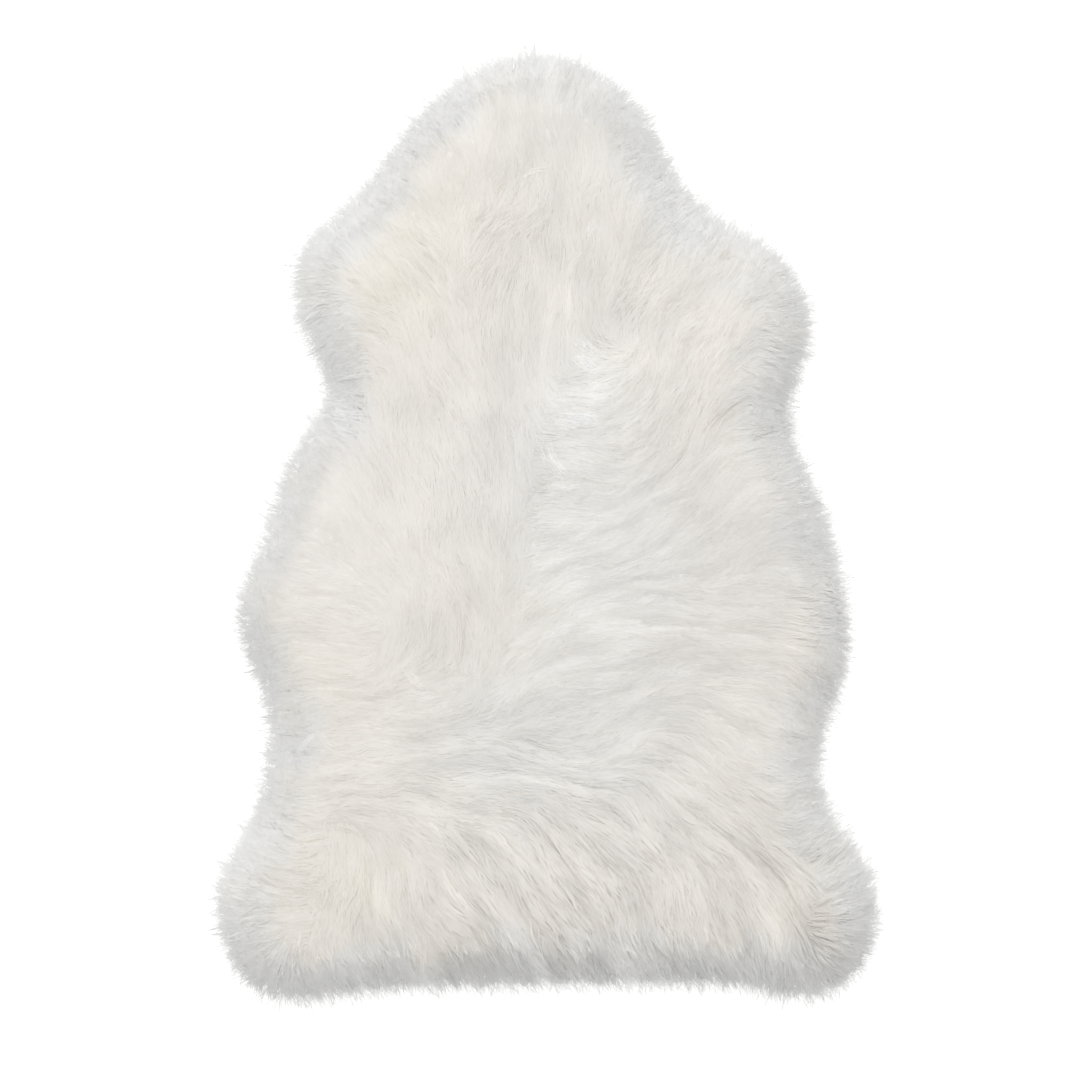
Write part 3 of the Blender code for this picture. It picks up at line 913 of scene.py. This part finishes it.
def strandsOf(random, path, kind, halfWidths=None, glow=0):
    # the middle lines of every lock's strands, with how they tilt, their shade and their width
    locks = len(path)
    lock = np.repeat(np.arange(locks), kind["strands"])
    count, points = len(lock), strand["points"]
    middleOf = path[:, path.shape[1] // 2]
    ruffle = ruffleAt(middleOf[:, 0], middleOf[:, 1])
    halfWidth = (halfWidths if halfWidths is not None else random.uniform(*kind["halfWidth"], locks))[lock]
    lift = (random.exponential(kind["lift"], locks) * ruffle)[lock]
    # paler: pale hairs, and on the brightest locks a painted highlight
    paler = kind.get("paler", 0) + strand["highlightPaler"] * glow
    shade = (random.normal(0, kind["shade"], locks) * ruffle + paler)[lock]
    crown = (kind["crown"] * ruffle)[lock]
    across = random.uniform(-1, 1, count)
    begin = random.uniform(*kind["begin"], count)
    end = begin + random.uniform(*kind["share"], count)
    q = np.linspace(0, 1, points)[None, :]
    t = begin[:, None] + (end - begin)[:, None] * q
    middle, heading = alongPath(path, lock, t)
    perp = np.stack([-heading[..., 1], heading[..., 0]], -1)
    spread = halfWidth[:, None] * (1 - (1 - kind["pinch"]) * smooth(*strand["pinchOver"], t))
    phase, pitch = random.uniform(0, 2 * math.pi, (count, 1)), random.uniform(*strand["waves"], (count, 1))
    stray = random.normal(0, kind["stray"], (count, 1)) * q
    u = across[:, None] * spread + strand["wave"] * np.sin(phase + q * pitch) + stray
    place = middle + perp * u[..., None]
    x, y = place[..., 0], place[..., 1]
    fine, wide = kind["width"]
    coarse = random.uniform(0, 1, count) ** strand["fineness"]
    rootDepth = kind["rootDepth"] * lively("rootDepth", ruffle)[lock][:, None]
    tipRise = (kind["tipRise"] * lively("tipRise", ruffle))[lock][:, None]
    level = -rootDepth * (1 - q) ** strand["rootCurve"] + tipRise * q ** strand["tipCurve"]
    depth = random.uniform(-1, 1, count) * strand["jitter"] - coarse * strand["wideSink"]
    above = kind.get("above", 0) + strand["glowRise"] * (np.zeros(locks) + glow)
    depth = depth * np.clip(lively("depth", ruffle), 0, 1)[lock] + above[lock]
    z = read("height", x, y) + level + (lift + depth)[:, None]
    z += (crown * (1 - across ** 2))[:, None] * np.sin(math.pi * np.clip(t, strand["crownFrom"], 1))
    z = np.maximum(z, random.uniform(*strand["lowest"], (count, 1)))
    tilt = (across * kind["tilt"] * ruffle[lock])[:, None] * smooth(0, strand["tiltFrom"], t)
    towardLight = strand["glowTurn"] * (np.zeros(locks) + glow)[lock] * (1 - across ** 2)
    towardLight = towardLight[:, None] * np.sin(math.pi * np.clip(t, 0, 1)) ** strand["glowFade"]
    width = (fine + (wide - fine) * coarse) * np.minimum(lively("width", ruffle), 1)[lock]
    return np.stack([x, y, z], -1), tilt, shade, width, towardLight


def unit(vectors):
    return vectors / (np.linalg.norm(vectors, axis=-1, keepdims=True) + 1e-9)


def ribbonsOf(random, centre, tilt, shade, width, towardLight):
    # points, normals and colours of tapered ribbons along these middle lines
    count, points = centre.shape[:2]
    along = unit(np.gradient(centre, axis=1))
    x, y = centre[..., 0], centre[..., 1]
    up = unit(np.stack([-read("riseX", x, y), -read("riseY", x, y), np.ones(x.shape)], -1))
    up = unit(up - along * (up * along).sum(-1, keepdims=True) * strand["followSlope"])
    side = unit(np.cross(along, up))
    light = unit(np.array(studio["keyPlace"]))
    facing = unit(up - side * tilt[..., None] + light * towardLight[..., None])
    roll = random.uniform(-strand["roll"], strand["roll"], (count, 1, 1))
    flat = side * np.cos(roll) - np.cross(side, along) * np.sin(roll)
    taper = np.interp(np.linspace(0, 1, points), *strand["taper"])
    half = flat * (width[:, None] * taper[None, :] / 2)[..., None]
    pair = np.stack([centre - half, centre + half], 2)[:, :-1]
    lean = side * strand["edgeLean"]
    pairNormals = np.stack([facing - lean, facing + lean], 2)[:, :-1]
    verts = np.concatenate([pair.reshape(count, -1, 3), centre[:, -1:]], 1)
    normals = unit(np.concatenate([pairNormals.reshape(count, -1, 3), facing[:, -1:]], 1))
    colour = tintAndShadingAt(verts[..., 0], verts[..., 1])
    each = (1 + shade + random.normal(0, strand["colourSpread"], count))[:, None, None]
    colour = colour * each
    # painted highlight: where a strand's shading turns to the light, its colour is painted towards the
    # palest
    paintedHighlight = np.repeat(towardLight / strand["glowTurn"], 2, axis=1)[:, :-1]
    colour += (tint["palest"] - colour) * np.clip(paintedHighlight, 0, 1)[..., None]
    return verts, normals, np.minimum(colour, tint["palest"])


def ribbonFaces(count, points):
    # corners of that many ribbons' faces: the quads, then the tips' triangles
    perStrand = 2 * (points - 1) + 1
    start = (np.arange(count) * perStrand)[:, None]
    k = np.arange(points - 2)[None, :] * 2
    quads = np.stack([start + k, start + k + 1, start + k + 3, start + k + 2], -1).reshape(-1, 4)
    last = start[:, 0] + perStrand - 3
    return quads, np.stack([last, last + 1, last + 2], -1)


# writes the wool's colour onto the mesh, painted light and shade included
def paintTintAndShading(mesh, colours):
    paint = mesh.color_attributes.new("woolTintAndShading", "FLOAT_COLOR", "POINT")
    rgba = np.ones((len(mesh.vertices), 4), np.float32)
    rgba[:, :3] = colours
    paint.data.foreach_set("color", rgba.ravel())


def meshFrom(name, verts, normals, colour):
    quads, tips = ribbonFaces(len(verts), strand["points"])
    verts = verts.reshape(-1, 3)
    corners = np.concatenate([quads.ravel(), tips.ravel()]).astype(np.int32)
    sizes = np.concatenate([np.full(len(quads), 4), np.full(len(tips), 3)])
    mesh = bpy.data.meshes.new(name)
    mesh.vertices.add(len(verts))
    mesh.vertices.foreach_set("co", verts.astype(np.float32).ravel())
    mesh.loops.add(len(corners))
    mesh.loops.foreach_set("vertex_index", corners)
    mesh.polygons.add(len(sizes))
    mesh.polygons.foreach_set("loop_start", np.concatenate([[0], np.cumsum(sizes)[:-1]]).astype(np.int32))
    mesh.polygons.foreach_set("use_smooth", np.ones(len(sizes), bool))
    mesh.update(calc_edges=True)
    paintTintAndShading(mesh, colour.reshape(-1, 3))
    plan = mesh.uv_layers.new(name="OFBake")
    span = 1.1 * max(boxHigh.x - boxLow.x, boxHigh.y - boxLow.y)
    plan.data.foreach_set("uv", (verts[corners][:, :2] / span + 0.5).astype(np.float32).ravel())
    mesh.normals_split_custom_set_from_vertices(normals.reshape(-1, 3))
    return added(name, mesh)


def makeWool(finish):
    random = np.random.default_rng(seeds["wool"])
    sets = []
    for kind, patches in ((topWool, ()), (topHairs, ()), (longWool, longPatches), (fineHairs, hairPatches)):
        x, y = inPatches(random, patches) if patches else scattered(random, kind)
        sets.append(strandsOf(random, growTopLocks(random, kind, x, y), kind))
        print("strands on top", len(sets[-1][0]))
    rimKinds = [(kind, ()) for kind in (rimWool, rimHairs, edgeWool, looseHairs)]
    for kind, places in [*rimKinds, (hangingLocks, hangingPlaces), (fringeLocks, fringePlaces)]:
        path = growRimLocks(random, kind)
        path = atPlaces(random, path, places) if places else path
        sets.append(strandsOf(random, path, kind, glow=kind.get("glow", 0)))
        print("strands at the rim", len(sets[-1][0]))
    sets.append(strandsOf(random, growTufts(), tuftWool, *np.array(tufts)[:, 5:7].T))
    centre, tilt, shade, width, towardLight = (np.concatenate(part) for part in zip(*sets))
    print("strands in all", len(centre))
    order = np.argsort(-centre[:, 0, 1], kind="stable")
    pieces = []
    for name, chosen in zip(bands, np.array_split(order, len(bands))):
        own = (values[chosen] for values in (centre, tilt, shade, width, towardLight))
        piece = meshFrom(name, *ribbonsOf(random, *own))
        piece.data.materials.append(finish)
        print(name, len(chosen), "strands", len(chosen) * (2 * strand["points"] - 3), "triangles")
        pieces.append(piece)
    return pieces


woolLook = {
    "sheen": 0.12,
    "sheenRoughness": 0.4,
    "specular": 0.35,
    "mottleScale": 45,
    "mottle": (0.975, 1.005),
    "roughness": (0.55, 0.85),
}
suedeLook = {
    "light": (0.76, 0.68, 0.55, 1),
    "dark": (0.6, 0.5, 0.38, 1),
    "between": (0.3, 0.72),
    "sheen": 0.3,
    "cloudScale": 14,
    "napScale": 900,
    "napDepth": 0.0006,
    "napStrength": 0.35,
    "roughness": (0.72, 0.95),
}


def addNode(tree, kind, **values):
    node = tree.nodes.new("ShaderNode" + kind)
    setInputs(node, **values)
    return node


def join(tree, fromNode, output, toNode, socket):
    tree.links.new(fromNode.outputs[output], toNode.inputs[socket])


def roughen(tree, noise, shader, ends):
    gloss = addNode(tree, "MapRange", To_Min=ends[0], To_Max=ends[1])
    join(tree, noise, "Fac", gloss, "Value")
    join(tree, gloss, "Result", shader, "Roughness")


def newFinish(name):
    finish = bpy.data.materials.new(name)
    finish.use_nodes = True
    tree = finish.node_tree
    return finish, tree, tree.nodes["Principled BSDF"], addNode(tree, "NewGeometry")


def woolFinish(name):
    finish, tree, shader, place = newFinish(name)
    setInputs(shader, Sheen_Weight=woolLook["sheen"], Sheen_Roughness=woolLook["sheenRoughness"])
    setInputs(shader, Specular_IOR_Level=woolLook["specular"])
    mottle = addNode(tree, "TexNoise", Scale=woolLook["mottleScale"], Detail=2)
    join(tree, place, "Position", mottle, "Vector")
    low, high = woolLook["mottle"]
    share = addNode(tree, "MapRange", To_Min=low, To_Max=high)
    join(tree, mottle, "Fac", share, "Value")
    colour = addNode(tree, "Attribute")
    colour.attribute_name = "woolTintAndShading"
    blend = addNode(tree, "VectorMath")
    blend.operation = "SCALE"
    join(tree, colour, "Color", blend, 0)
    join(tree, share, "Result", blend, "Scale")
    join(tree, blend, "Vector", shader, "Base Color")
    roughen(tree, mottle, shader, woolLook["roughness"])
    return finish


def suedeFinish():
    finish, tree, shader, place = newFinish("suede")
    setInputs(shader, Sheen_Weight=suedeLook["sheen"])
    nap = addNode(tree, "TexNoise", Scale=suedeLook["napScale"], Detail=5)
    cloud = addNode(tree, "TexNoise", Scale=suedeLook["cloudScale"], Detail=6)
    join(tree, place, "Position", nap, "Vector")
    join(tree, place, "Position", cloud, "Vector")
    ramp = addNode(tree, "ValToRGB")
    dark, light = ramp.color_ramp.elements
    dark.position, light.position = suedeLook["between"]
    dark.color, light.color = suedeLook["dark"], suedeLook["light"]
    join(tree, cloud, "Fac", ramp, "Fac")
    join(tree, ramp, "Color", shader, "Base Color")
    bump = addNode(tree, "Bump", Strength=suedeLook["napStrength"], Distance=suedeLook["napDepth"])
    join(tree, nap, "Fac", bump, "Height")
    join(tree, bump, "Normal", shader, "Normal")
    roughen(tree, nap, shader, suedeLook["roughness"])
    return finish


undercoat = {
    "bottom": 0.0015,
    "height": 0.034,  # of the slab, before its top follows the wool
    "thinnest": 0.003,
    "below": (0.0002, 0.0009),  # how far it stays under calm wool, and how much more under ruffled
    "belowAtRim": 0.0018,
    "rim": (0.012, 0.036),  # from the rim's values to the others over these depths
    "paler": 0.06,  # than the wool over it, away from the rim: partly whiter undercoat, partly painted light that lifts the shade in the gaps between strands
    "voxel": 0.0071,
}
hide = {
    "inset": 0.0175,  # from the solid's rim in to the cut edge
    "thickness": 0.002,
    "edge": 0.0004,
}


def slabFrom(name, outline, low, high):
    count = len(outline)
    verts = [(x, y, low) for x, y in outline] + [(x, y, high) for x, y in outline]
    faces = [tuple(range(count))[::-1], tuple(range(count, 2 * count))]
    faces += [(k, (k + 1) % count, (k + 1) % count + count, k + count) for k in range(count)]
    mesh = bpy.data.meshes.new(name)
    mesh.from_pydata(verts, [], faces)
    return added(name, mesh)


def ringMovedIn(amount):
    ring = form["ring"].copy()
    steps = 6
    for _ in range(steps):
        out = unit(np.stack([read("outX", *ring.T), read("outY", *ring.T)], -1))
        ring -= out * amount / steps
        ring = 0.5 * ring + 0.25 * (np.roll(ring, 1, 0) + np.roll(ring, -1, 0))
    return ring


def applied(piece):
    graph = bpy.context.evaluated_depsgraph_get()
    mesh = bpy.data.meshes.new_from_object(piece.evaluated_get(graph))
    piece.modifiers.clear()
    piece.data = mesh
    return piece


def makeUndercoat(finish):
    low, high = undercoat["bottom"], undercoat["height"]
    piece = slabFrom("undercoat", ringMovedIn(0), low, high)  # not moved, only evened out
    remesh = piece.modifiers.new("even", "REMESH")
    remesh.mode = "VOXEL"
    remesh.voxel_size = undercoat["voxel"]
    remesh.use_smooth_shade = True
    mesh = applied(piece).data
    points = np.empty(len(mesh.vertices) * 3)
    mesh.vertices.foreach_get("co", points)
    points = points.reshape(-1, 3)
    x, y, z = points.T
    inward = smooth(*undercoat["rim"], read("inside", x, y))
    calmBelow, ruffledBelow = undercoat["below"]
    below = calmBelow + ruffledBelow * ruffleAt(x, y)
    below = undercoat["belowAtRim"] + (below - undercoat["belowAtRim"]) * inward
    top = np.maximum(read("height", x, y) - below, low + undercoat["thinnest"])
    points[:, 2] = low + np.clip((z - low) / (high - low), 0, 1.02) * (top - low)
    mesh.vertices.foreach_set("co", points.astype(np.float32).ravel())
    # the undercoat takes the wool's colour with its painted light and shade, made paler away from the rim
    paintTintAndShading(mesh, np.minimum(tintAndShadingAt(x, y) * (1 + undercoat["paler"] * inward)[:, None], tint["palest"]))
    mesh.materials.append(finish)
    mesh.update()
    print("undercoat", len(mesh.polygons), "faces")
    return piece


def makeHide(finish):
    ring = ringMovedIn(hide["inset"])
    piece = slabFrom("hide", ring, 0, hide["thickness"])
    soften = piece.modifiers.new("cutEdge", "BEVEL")
    soften.width = hide["edge"]
    soften.segments = 2
    soften.limit_method = "ANGLE"
    piece.data.materials.append(finish)
    x, y = ring.T
    area = abs((x * np.roll(y, -1) - y * np.roll(x, -1)).sum()) / 2
    return piece, (float(np.ptp(x)), float(np.ptp(y))), float(area)


makeCamera()
makeLight()
makeFloor()
print("camera, light and floor ready")
readForm()
readLie()
addStreaks()
print("form and lie of the wool read")
wool = makeWool(woolFinish("wool"))
base = makeUndercoat(woolFinish("woolBase"))
skin, skinSize, skinArea = makeHide(suedeFinish())
print("hide", skinSize, skinArea)

for piece in [*wool, base]:
    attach(piece, "root")
    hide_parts("sheepskin")
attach(skin, "root")
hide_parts("sheepskin")
